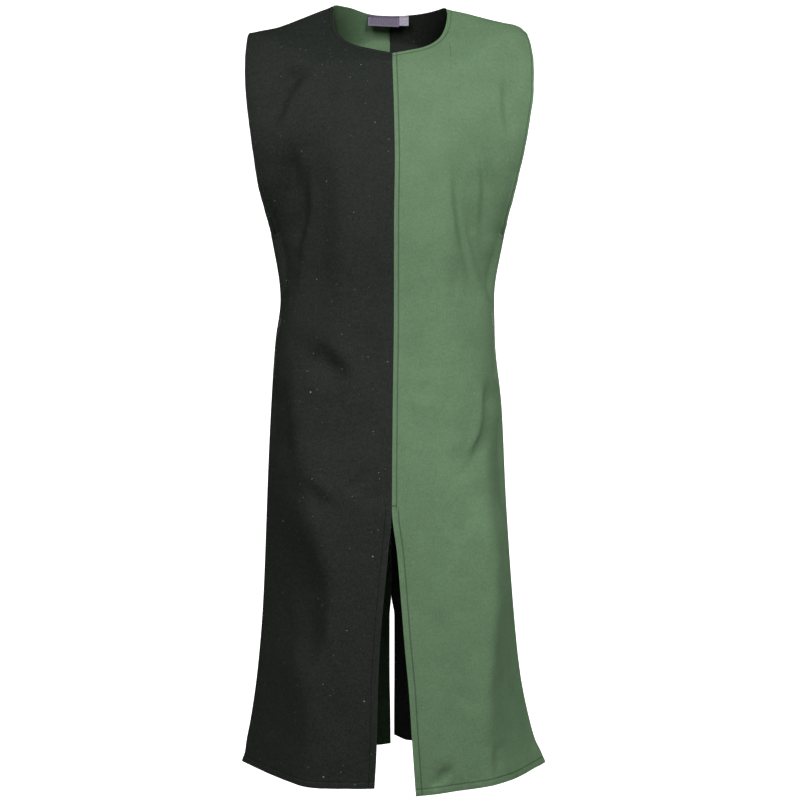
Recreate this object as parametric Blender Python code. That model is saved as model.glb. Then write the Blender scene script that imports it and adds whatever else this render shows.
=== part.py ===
"""A sleeveless surcoat parted down the middle, worn by nobody: four cloth panels
filled out as on a figure, with a woven label and a size tab inside the back neck.

Sizes are in millimetres and become metres in the meshes. X runs to the wearer's
left, the front faces -Y and Z is up. The origin is the middle of the neck
opening, level with the neck points of the shoulder seams.

Every panel is a grid of rows and columns. A column runs from the neckline or the
shoulder seam down to the hem, and its share across is 0 at the centre seam or
slit and 1 at the armhole edge or the side seam.
"""

import math

import bmesh
import bpy
import numpy as np

MM = 0.001
WALL = 1.5  # canvas with its turned hems
LABEL_WALL = 1.0
SEAM_GAP = 0.3
LIE_GAP = 0.6  # between a label and the panel it lies on

UPPER_ROWS = 13  # from the neckline and shoulder down to the underarm
LOWER_ROWS = 26  # from the underarm down to the hem
NECK_COLUMNS = 5
SHOULDER_COLUMNS = 8

UNDERARM_Z = -350.0
ARMHOLE_MIDDLE_Z = -190.0
ARMHOLE_TOP_Z = -41.0
ARMHOLE_HALF_DEPTH = 50.0
ARMHOLE_TOP_POWER = 0.5  # round over the shoulder's tip
ARMHOLE_FOOT_POWER = 0.65  # narrower under the arm

SKIRT_ROUND = 0.075  # of the half width

NECK_SHAPE = 2.6  # how square the neckline's corners are, seen from the front
FRONT_NECK_DROP = 87.0
BACK_NECK_CLIMB = 70.0
NECK_HALF_RIGHT = 90.0
NECK_HALF_LEFT = 81.0

# The body of the garment at each height: half widths on the wearer's right and
# left, the depth of the front and of the back at the centre, and the two powers
# of the section, which is round at the waist and sharp-cornered at the hem.
SECTIONS = {
    "columns": ("z", "right", "left", "front", "back", "flat", "corner"),
    "rows": (
        (0, 216, 201, 66, 84, 2.4, 1.6),
        (-41, 216, 201, 72, 90, 2.4, 1.6),
        (-60, 217, 204, 76, 94, 2.4, 1.6),
        (-90, 218, 208, 82, 98, 2.4, 1.6),
        (-130, 217, 207.5, 94, 103, 2.4, 1.7),
        (-190, 211, 199.5, 109, 109, 2.4, 1.75),
        (-270, 200, 183.5, 121, 111, 2.4, 1.8),
        (-350, 182, 166, 122, 104, 2.4, 1.9),
        (-441, 169, 152, 116, 96, 2.4, 2.0),
        (-500, 176, 153, 117, 99, 2.4, 1.95),
        (-600, 183, 163, 126, 114, 2.6, 1.75),
        (-742, 189.5, 170, 142, 132, 2.9, 1.5),
        (-900, 196, 181, 152, 143, 3.4, 1.25),
        (-1000, 204.5, 191.5, 157, 147, 3.7, 1.1),
        (-1070, 214.5, 205.5, 160, 149, 3.9, 1.0),
        (-1101, 220.5, 214.5, 161, 150, 4.0, 1.0),
        (-1116, 222.5, 222, 161, 150, 4.0, 1.0),
        (-1132.5, 227, 228.5, 161, 150, 4.0, 1.0),
    ),
}

# The shoulder seam's height, from the neck point at share 0 to its tip at 1.
SHOULDER = {
    "columns": ("share", "right", "left"),
    "rows": (
        (0, 0, -4.5),
        (0.2, -9.5, -9.5),
        (0.35, -17.5, -14.5),
        (0.69, -34, -25.8),
        (0.9, -39.5, -32.0),
        (1, -41, -41),
    ),
}

# The back neckline's height, from the centre seam at share 0 to the neck point.
BACK_NECK = {
    "columns": ("share", "right", "left"),
    "rows": ((0, 1.2, 1.2), (0.4, 3.5, 1.4), (0.7, 6.2, 0.7), (0.9, 3.5, -1.0), (1, 0, -4.5)),
}

# Where each panel's skirt turns from its flat front or back towards the side, as a
# share across.
TURNS = {
    "columns": ("z", "front_right", "front_left", "back_right", "back_left"),
    "rows": (
        (-560, 0.74, 0.88, 0.76, 0.74),
        (-650, 0.72, 0.90, 0.75, 0.72),
        (-700, 0.69, 0.91, 0.73, 0.71),
        (-760, 0.64, 0.91, 0.70, 0.69),
        (-815, 0.53, 0.90, 0.66, 0.67),
        (-871, 0.44, 0.87, 0.62, 0.65),
        (-927, 0.46, 0.81, 0.59, 0.63),
        (-983, 0.57, 0.73, 0.58, 0.61),
        (-1040, 0.55, 0.66, 0.57, 0.59),
        (-1081, 0.53, 0.61, 0.56, 0.58),
        (-1132, 0.52, 0.57, 0.55, 0.57),
    ),
}

# Where the centre seam lies across the garment, and how far each panel's edge swings
# from it: below the top of the front slit and of the back slit.
FRONT_CENTRE = {
    "columns": ("z", "seam", "right", "left"),
    "rows": (
        (-87, -1, 0, 0),
        (-180, 2, 0, 0),
        (-250, 3.2, 0, 0),
        (-340, 2, 0, 0),
        (-470, 1.8, 0, 0),
        (-600, 0.2, 0, 0),
        (-742, -0.8, 0, 0),
        (-810, -0.8, 5.5, 7.6),
        (-878, -0.8, 11.9, 13.2),
        (-935, -0.8, 16.7, 17.8),
        (-1000, -0.8, 19.5, 23.8),
        (-1073, -0.8, 20.9, 28.4),
        (-1150, -0.8, 25.2, 33.8),
    ),
}
BACK_CENTRE = {
    "columns": ("z", "seam", "right", "left"),
    "rows": (
        (5, -5.6, 0, 0),
        (-300, -4.6, 0, 0),
        (-903, -3.4, 0, 0),
        (-935, -3.2, 2.6, 4.4),
        (-1035, -2.8, 3.0, 4.0),
        (-1085, -2.6, 2.3, 3.5),
        (-1150, -2.2, 2.0, 3.1),
    ),
}

# The hem's height on each panel, from its centre edge at share 0 to the side seam.
HEM = {
    "columns": ("share", "front_right", "front_left", "back_right", "back_left"),
    "rows": (
        (0, -1131.5, -1142.5, -1141, -1127),
        (0.1, -1132, -1140.5, -1143.5, -1136),
        (0.35, -1132, -1134, -1142, -1138),
        (0.57, -1130, -1130, -1138, -1135.5),
        (0.8, -1132, -1134.5, -1134.5, -1134.5),
        (1, -1132.5, -1134.5, -1132.5, -1134.5),
    ),
}

# The largest folds. Each runs straight from its top to its foot, as seen from the
# front. Reach is its half width, and depth is into the garment for a trough and
# negative for a ridge.
FOLDS = {
    "columns": ("panel", "top_x", "top_z", "foot_x", "foot_z", "reach", "depth"),
    "rows": (
        ("front_right", -124, -278, -143, -345, 19, 7),
        ("front_right", -143, -345, -158, -420, 18, 7),
        ("front_right", -165, -300, -171, -335, 13, 3),
        ("front_right", -150, -130, -188, -200, 14, 3),
        ("front_right", -119, -508, -53, -562, 18, 4),
        ("front_right", -121, -707, -70, -739, 16, 3),
        ("front_left", 89, -310, 112, -357, 17, 5),
        ("front_left", 112, -357, 143, -435, 18, 7),
        ("front_left", 134, -273, 150, -370, 14, 4),
        ("front_left", 136, -610, 93, -670, 15, 5),
        ("front_left", 128, -652, 89, -680, 13, -3),
        ("front_left", 121, -758, 92, -800, 17, 4),
        ("back_right", -70, -190, -120, -330, 20, 5),
        ("back_right", -60, -420, -130, -500, 18, 5),
        ("back_right", -84, -720, -92, -985, 19, 6),
        ("back_left", 66, -200, 118, -345, 20, 5),
        ("back_left", 126, -560, 60, -640, 18, 5),
        ("back_left", 74, -760, 84, -1030, 19, 6),
    ),
}

# The label and the tab beside it: the stretch across, and how many rows of the panels
# they hang down from the neckline.
LABELS = {
    "columns": ("name", "from_x", "to_x", "rows_down"),
    "rows": (("neck_label", -38.9, 9.0, 1.55), ("size_tab", 9.3, 23.6, 1.7)),
}

# Colours of the cloth and the labels, in linear light.
CLOTH = {
    "columns": ("name", "red", "green", "blue", "roughness"),
    "rows": (
        ("front_right", 0.022, 0.025, 0.022, 0.92),
        ("front_left", 0.128, 0.215, 0.115, 0.92),
        ("back_right", 0.128, 0.215, 0.115, 0.92),
        ("back_left", 0.022, 0.025, 0.022, 0.92),
        ("neck_label", 0.15, 0.09, 0.28, 0.6),
        ("size_tab", 0.42, 0.38, 0.55, 0.6),
    ),
}


def column(table, name):
    i = table["columns"].index(name)
    return [row[i] for row in table["rows"]]


def curve(table, over, name, at):
    """The table's column at these places, as a smooth curve through its rows that
    doesn't overshoot them."""
    x = np.array(column(table, over), float)
    y = np.array(column(table, name), float)
    if x[0] > x[-1]:
        x, y = x[::-1], y[::-1]
    step = np.diff(x)
    slope = np.diff(y) / step
    tangent = np.zeros(len(x))
    tangent[0], tangent[-1] = slope[0], slope[-1]
    for i in range(1, len(x) - 1):
        if slope[i - 1] * slope[i] > 0:
            a, b = 2 * step[i] + step[i - 1], step[i] + 2 * step[i - 1]
            tangent[i] = (a + b) / (a / slope[i - 1] + b / slope[i])
    at = np.clip(np.asarray(at, float), x[0], x[-1])
    i = np.clip(np.searchsorted(x, at, "right") - 1, 0, len(step) - 1)
    t = (at - x[i]) / step[i]
    return (
        y[i] * (1 + 2 * t) * (1 - t) ** 2
        + tangent[i] * step[i] * t * (1 - t) ** 2
        + y[i + 1] * t * t * (3 - 2 * t)
        + tangent[i + 1] * step[i] * t * t * (t - 1)
    )


def smooth(low, high, at):
    t = np.clip((at - low) / (high - low), 0, 1)
    return t * t * (3 - 2 * t)


def bow(share, power):
    """A quarter of a rounded rectangle: 1 at share 0, falling to 0 at share 1."""
    return np.maximum(1 - share**power, 0) ** (1 / power)


def skirt_section(u, turn, round_over):
    """A flat front that turns at a share across and then runs straight to the side: 1
    at the centre and 0 at the side, with the turn rounded over a part of that run."""

    def ease(at):
        return (at + np.sqrt(at * at + round_over * round_over)) / 2

    start, end = ease(-turn / (1 - turn)), ease(1.0)
    return 1 - (ease((u - turn) / (1 - turn)) - start) / (end - start)


def fold_depth(panel, x, z):
    """How far the folds of a panel press its points in."""
    total = np.zeros_like(x)
    for row in FOLDS["rows"]:
        fold = dict(zip(FOLDS["columns"], row))
        if fold["panel"] != panel:
            continue
        run = np.array((fold["foot_x"] - fold["top_x"], fold["foot_z"] - fold["top_z"]), float)
        along = ((x - fold["top_x"]) * run[0] + (z - fold["top_z"]) * run[1]) / (run @ run)
        t = np.clip(along, 0, 1)
        away = np.hypot(x - fold["top_x"] - t * run[0], z - fold["top_z"] - t * run[1])
        total += fold["depth"] * np.exp(-((away / fold["reach"]) ** 2) * 1.6)
    return total


def panel_grid(panel):
    """The outer points of a panel, with the ways its seam edges have to keep."""
    face, side = panel.split("_")
    outward, across = (-1 if face == "front" else 1), (-1 if side == "right" else 1)
    neck_half = NECK_HALF_RIGHT if side == "right" else NECK_HALF_LEFT
    shoulder_half = curve(SECTIONS, "z", side, [ARMHOLE_TOP_Z])[0]
    neck_share = neck_half / shoulder_half

    # Columns crowd towards the neck point and towards the side.
    to_neck = np.sin(np.linspace(0, math.pi / 2, NECK_COLUMNS + 1)) * neck_share
    beyond = neck_share + (1 - neck_share) * np.sin(
        np.linspace(0, math.pi / 2, SHOULDER_COLUMNS + 1)
    )
    share = np.concatenate([to_neck, beyond[1:]])
    in_neck = np.clip(share / neck_share, 0, 1)
    past_neck = np.clip((share - neck_share) / (1 - neck_share), 0, 1)

    # The top edge: the neckline, then the shoulder seam. The form itself goes on above
    # the neckline, up to a ridge that climbs towards the neck at the back.
    seam_z = curve(SHOULDER, "share", side, past_neck)
    if face == "front":
        fall = bow(in_neck, NECK_SHAPE) * (1 - 0.2 * in_neck * (1 - in_neck))
        top_z = seam_z - (FRONT_NECK_DROP + seam_z[0]) * fall
        ridge_z = seam_z
    else:
        top_z = np.where(share < neck_share, curve(BACK_NECK, "share", side, in_neck), seam_z)
        ridge_z = seam_z + BACK_NECK_CLIMB * (1 - in_neck**2) ** 1.35
    hem_z = curve(HEM, "share", panel, share)

    # Rows crowd towards the shoulder and the underarm.
    upper = (1 - np.cos(np.linspace(0, math.pi, UPPER_ROWS + 1))) / 2
    lower = np.linspace(0, 1, LOWER_ROWS + 1)[1:]
    z = np.concatenate(
        [
            top_z + (UNDERARM_Z - top_z) * upper[:, None],
            UNDERARM_Z + (hem_z - UNDERARM_Z) * lower[:, None],
        ]
    )
    u = np.broadcast_to(share, z.shape)

    # Across: even shares of the half width, from the centre edge.
    half = curve(SECTIONS, "z", side, np.minimum(z, ARMHOLE_TOP_Z))
    line = FRONT_CENTRE if face == "front" else BACK_CENTRE
    centre = curve(line, "z", "seam", z) + across * (curve(line, "z", side, z) + SEAM_GAP / 2)
    low = smooth(-300, -650, z)
    near = (1 - np.clip(u / neck_share, 0, 1)) ** 2 * (1 - low) + (1 - u) * low
    x = across * (half * u) + centre * near

    # Depth: the section's own, cut off where it has the armhole edge's depth.
    over = z > ARMHOLE_MIDDLE_Z
    reach = np.where(over, ARMHOLE_TOP_Z - ARMHOLE_MIDDLE_Z, ARMHOLE_MIDDLE_Z - UNDERARM_Z)
    within = np.clip(1 - ((z - ARMHOLE_MIDDLE_Z) / reach) ** 2, 0, 1)
    edge = ARMHOLE_HALF_DEPTH * within ** np.where(over, ARMHOLE_TOP_POWER, ARMHOLE_FOOT_POWER)
    flat = curve(SECTIONS, "z", "flat", z)
    corner = curve(SECTIONS, "z", "corner", z)
    middle = curve(SECTIONS, "z", face, z)
    cut = (1 - (edge / middle) ** corner) ** (1 / flat)
    body = np.maximum(1 - (u * cut) ** flat, 0) ** (1 / corner)
    turn = curve(TURNS, "z", panel, z)
    skirt = skirt_section(u, turn, SKIRT_ROUND / (1 - turn))
    share_of_skirt = smooth(-560, -820, z)
    section = middle * (body * (1 - share_of_skirt) + skirt * share_of_skirt)

    # Near the top it rolls from the ridge down onto the section.
    out = smooth(0, 1, past_neck)
    at_neck = 100 if face == "front" else 100 - 66 * in_neck**2
    roll = at_neck * (1 - out) + 12 * out
    power = 1.2 + 0.8 * out
    down = np.clip((ridge_z - z) / roll, 0, 1)
    depth = section * np.maximum(1 - (1 - down) ** power, 0) ** (1 / power)

    # Folds fade out before every edge but the hem.
    fade = smooth(0, 0.08, u) * smooth(1, 0.9, u) * smooth(0, 60, top_z - z)
    depth = depth - fold_depth(panel, x, z) * fade * smooth(0, 40, depth)

    points = np.stack([x, outward * (depth + SEAM_GAP / 2), z], axis=2)
    shoulder_seam = np.zeros(z.shape, bool)
    shoulder_seam[0, NECK_COLUMNS:] = True
    side_seam = np.zeros(z.shape, bool)
    side_seam[UPPER_ROWS:, -1] = True
    centre_edge = np.zeros(z.shape, bool)
    centre_edge[:, 0] = True
    keep = {"y": shoulder_seam | side_seam, "x": centre_edge}
    return points, keep, -outward * across


def outward_ways(points, keep, turn):
    """A unit way out of the cloth at each point. At a seam it stays in the seam's plane
    and is a little longer, so that the wall keeps its thickness there."""
    down = np.gradient(points, axis=0)
    along = np.gradient(points, axis=1)
    way = np.cross(down, along) * turn
    way /= np.linalg.norm(way, axis=2, keepdims=True)
    for axis, name in ((1, "y"), (0, "x")):
        flat = way.copy()
        flat[..., axis] = 0
        size = np.linalg.norm(flat, axis=2, keepdims=True)
        longer = np.minimum(1 / np.maximum(size, 0.5), 1.35)
        way = np.where(keep[name][..., None], flat / np.maximum(size, 1e-9) * longer, way)
    return way


def shell(name, outer, inner, collection):
    """A closed wall between two grids of points."""
    rows, columns = outer.shape[:2]
    mesh = bmesh.new()
    skins = []
    for grid in (outer, inner):
        skins.append([[mesh.verts.new(tuple(p * MM)) for p in row] for row in grid])
    out, into = skins
    for r in range(rows - 1):
        for c in range(columns - 1):
            for grid, flip in ((out, False), (into, True)):
                loop = [grid[r][c], grid[r + 1][c], grid[r + 1][c + 1], grid[r][c + 1]]
                mesh.faces.new(loop[::-1] if flip else loop)
    ring = (
        [(0, c) for c in range(columns)]
        + [(r, columns - 1) for r in range(1, rows)]
        + [(rows - 1, c) for c in range(columns - 2, -1, -1)]
        + [(r, 0) for r in range(rows - 2, 0, -1)]
    )
    for a, b in zip(ring, ring[1:] + ring[:1]):
        mesh.faces.new((out[a[0]][a[1]], out[b[0]][b[1]], into[b[0]][b[1]], into[a[0]][a[1]]))
    bmesh.ops.recalc_face_normals(mesh, faces=mesh.faces)
    if mesh.calc_volume(signed=True) < 0:
        bmesh.ops.reverse_faces(mesh, faces=mesh.faces)
    data = bpy.data.meshes.new(name)
    mesh.to_mesh(data)
    mesh.free()
    for face in data.polygons:
        face.use_smooth = True
    body = bpy.data.objects.new(name, data)
    collection.objects.link(body)
    body.data.materials.append(cloth_material(name))
    return body


def cloth_material(name):
    row = dict(zip(CLOTH["columns"], CLOTH["rows"][column(CLOTH, "name").index(name)]))
    material = bpy.data.materials.new(name)
    material.use_nodes = True
    material.diffuse_color = (row["red"], row["green"], row["blue"], 1)
    surface = material.node_tree.nodes["Principled BSDF"]
    surface.inputs["Base Color"].default_value = (row["red"], row["green"], row["blue"], 1)
    surface.inputs["Roughness"].default_value = row["roughness"]
    return material


def build_label(row, grids, collection):
    """A label that hangs from the back neckline, from the inner points of both back
    panels, moved out into the neck."""
    label = dict(zip(LABELS["columns"], row))
    lines = []
    for at in (0, 1, label["rows_down"]):
        places, ways = [], []
        for panel in ("back_right", "back_left"):
            order = slice(None, None, -1) if panel == "back_right" else slice(None)
            r, t = int(at), at - int(at)
            for grid, kept in zip(grids[panel], (places, ways)):
                kept.append((grid[r] * (1 - t) + grid[r + 1] * t)[order])
        places, ways = np.concatenate(places), np.concatenate(ways)
        xs = places[:, 0]
        inside = [x for x in xs if label["from_x"] + 2 < x < label["to_x"] - 2]
        at = np.array([label["from_x"], *inside, label["to_x"]])
        lines.append([[np.interp(at, xs, g[:, k]) for k in range(3)] for g in (places, ways)])
    places = np.array([np.stack(line[0], axis=1) for line in lines])
    ways = np.array([np.stack(line[1], axis=1) for line in lines])
    ways /= np.linalg.norm(ways, axis=2, keepdims=True)
    back = places - ways * LIE_GAP
    return shell(label["name"], back, back - ways * LABEL_WALL, collection)


def build():
    for old in list(bpy.data.objects):
        bpy.data.objects.remove(old, do_unlink=True)
    surcoat = bpy.data.collections.new("surcoat")
    bpy.context.scene.collection.children.link(surcoat)
    grids = {}
    for panel in ("front_right", "front_left", "back_right", "back_left"):
        points, keep, turn = panel_grid(panel)
        ways = outward_ways(points, keep, turn)
        grids[panel] = (points - ways * WALL, ways)
        shell(panel, points, grids[panel][0], surcoat)
    for row in LABELS["rows"]:
        build_label(row, grids, surcoat)


build()
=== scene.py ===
"""The looks of the surcoat: each cloth panel is a thin shell on its solid's form, with
its creases, turned hems, seams and stitches as real shape, and woven materials.

Sizes in the tables are in millimetres. X runs to the wearer's left, the front faces
-Y and Z is up.
"""

import math

import bpy
import numpy as np
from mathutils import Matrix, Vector
from mathutils.bvhtree import BVHTree
from mathutils.kdtree import KDTree


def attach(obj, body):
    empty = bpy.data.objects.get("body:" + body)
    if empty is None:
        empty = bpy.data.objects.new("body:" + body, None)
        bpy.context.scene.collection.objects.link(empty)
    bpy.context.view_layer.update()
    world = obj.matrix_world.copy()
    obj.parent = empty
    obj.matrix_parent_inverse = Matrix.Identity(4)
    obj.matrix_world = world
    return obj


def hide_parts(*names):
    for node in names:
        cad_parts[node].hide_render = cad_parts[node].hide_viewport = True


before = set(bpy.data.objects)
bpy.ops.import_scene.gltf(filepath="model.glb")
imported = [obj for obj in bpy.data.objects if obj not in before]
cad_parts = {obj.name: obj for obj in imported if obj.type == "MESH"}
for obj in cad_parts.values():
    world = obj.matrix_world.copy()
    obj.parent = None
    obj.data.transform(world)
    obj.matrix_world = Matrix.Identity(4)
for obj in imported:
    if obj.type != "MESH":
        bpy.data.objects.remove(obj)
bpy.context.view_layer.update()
scene = bpy.context.scene

MM = 0.001

# ---------------------------------------------------------------- the worn form
CLOTH_WALL = 0.9
SEAM_GAP = 0.01

UNDERARM_Z = -350.0
ARMHOLE_MIDDLE_Z = -190.0
ARMHOLE_TOP_Z = -41.0
ARMHOLE_HALF_DEPTH = 50.0
ARMHOLE_TOP_POWER = 0.5
ARMHOLE_FOOT_POWER = 0.65

SKIRT_ROUND = 0.075  # of the half width

NECK_SHAPE = 2.6
FRONT_NECK_DROP = 87.0
BACK_NECK_CLIMB = 70.0
NECK_HALF = {"right": 90.0, "left": 81.0}
FRONT_SLIT_TOP_Z = -742.0
BACK_SLIT_TOP_Z = -903.0

SECTIONS = {
    "columns": ("z", "right", "left", "front", "back", "flat", "corner"),
    "rows": (
        (0, 216, 201, 66, 84, 2.4, 1.6),
        (-41, 216, 201, 72, 90, 2.4, 1.6),
        (-60, 217, 204, 76, 94, 2.4, 1.6),
        (-90, 218, 208, 82, 98, 2.4, 1.6),
        (-130, 217, 207.5, 94, 103, 2.4, 1.7),
        (-190, 211, 199.5, 109, 109, 2.4, 1.75),
        (-270, 200, 183.5, 121, 111, 2.4, 1.8),
        (-350, 182, 166, 122, 104, 2.4, 1.9),
        (-441, 169, 152, 116, 96, 2.4, 2.0),
        (-500, 176, 153, 117, 99, 2.4, 1.95),
        (-600, 183, 163, 126, 114, 2.6, 1.75),
        (-742, 189.5, 170, 142, 132, 2.9, 1.5),
        (-900, 196, 181, 152, 143, 3.4, 1.25),
        (-1000, 204.5, 191.5, 157, 147, 3.7, 1.1),
        (-1070, 214.5, 205.5, 160, 149, 3.9, 1.0),
        (-1101, 220.5, 214.5, 161, 150, 4.0, 1.0),
        (-1116, 222.5, 222, 161, 150, 4.0, 1.0),
        (-1132.5, 227, 228.5, 161, 150, 4.0, 1.0),
    ),
}
SHOULDER = {
    "columns": ("share", "right", "left"),
    "rows": (
        (0, 0, -4.5),
        (0.2, -9.5, -9.5),
        (0.35, -17.5, -14.5),
        (0.69, -34, -25.8),
        (0.9, -39.5, -32.0),
        (1, -41, -41),
    ),
}
BACK_NECK = {
    "columns": ("share", "right", "left"),
    "rows": ((0, 1.2, 1.2), (0.4, 3.5, 1.4), (0.7, 6.2, 0.7), (0.9, 3.5, -1.0), (1, 0, -4.5)),
}
# Where each panel's skirt turns from its flat front or back towards the side, as a
# share across.
TURNS = {
    "columns": ("z", "front_right", "front_left", "back_right", "back_left"),
    "rows": (
        (-560, 0.74, 0.88, 0.76, 0.74),
        (-650, 0.72, 0.90, 0.75, 0.72),
        (-700, 0.69, 0.91, 0.73, 0.71),
        (-760, 0.64, 0.91, 0.70, 0.69),
        (-815, 0.53, 0.90, 0.66, 0.67),
        (-871, 0.44, 0.87, 0.62, 0.65),
        (-927, 0.46, 0.81, 0.59, 0.63),
        (-983, 0.57, 0.73, 0.58, 0.61),
        (-1040, 0.55, 0.66, 0.57, 0.59),
        (-1081, 0.53, 0.61, 0.56, 0.58),
        (-1132, 0.52, 0.57, 0.55, 0.57),
    ),
}
FRONT_CENTRE = {
    "columns": ("z", "seam", "right", "left"),
    "rows": (
        (-87, -1, 0, 0),
        (-180, 2, 0, 0),
        (-250, 3.2, 0, 0),
        (-340, 2, 0, 0),
        (-470, 1.8, 0, 0),
        (-600, 0.2, 0, 0),
        (-742, -0.8, 0, 0),
        (-810, -0.8, 5.5, 7.6),
        (-878, -0.8, 11.9, 13.2),
        (-935, -0.8, 16.7, 17.8),
        (-1000, -0.8, 19.5, 23.8),
        (-1073, -0.8, 20.9, 28.4),
        (-1150, -0.8, 25.2, 33.8),
    ),
}
BACK_CENTRE = {
    "columns": ("z", "seam", "right", "left"),
    "rows": (
        (5, -5.6, 0, 0),
        (-300, -4.6, 0, 0),
        (-903, -3.4, 0, 0),
        (-935, -3.2, 2.6, 4.4),
        (-1035, -2.8, 3.0, 4.0),
        (-1085, -2.6, 2.3, 3.5),
        (-1150, -2.2, 2.0, 3.1),
    ),
}
HEM = {
    "columns": ("share", "front_right", "front_left", "back_right", "back_left"),
    "rows": (
        (0, -1131.5, -1142.5, -1141, -1127),
        (0.1, -1132, -1140.5, -1143.5, -1136),
        (0.35, -1132, -1134, -1142, -1138),
        (0.57, -1130, -1130, -1138, -1135.5),
        (0.8, -1132, -1134.5, -1134.5, -1134.5),
        (1, -1132.5, -1134.5, -1132.5, -1134.5),
    ),
}

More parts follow.
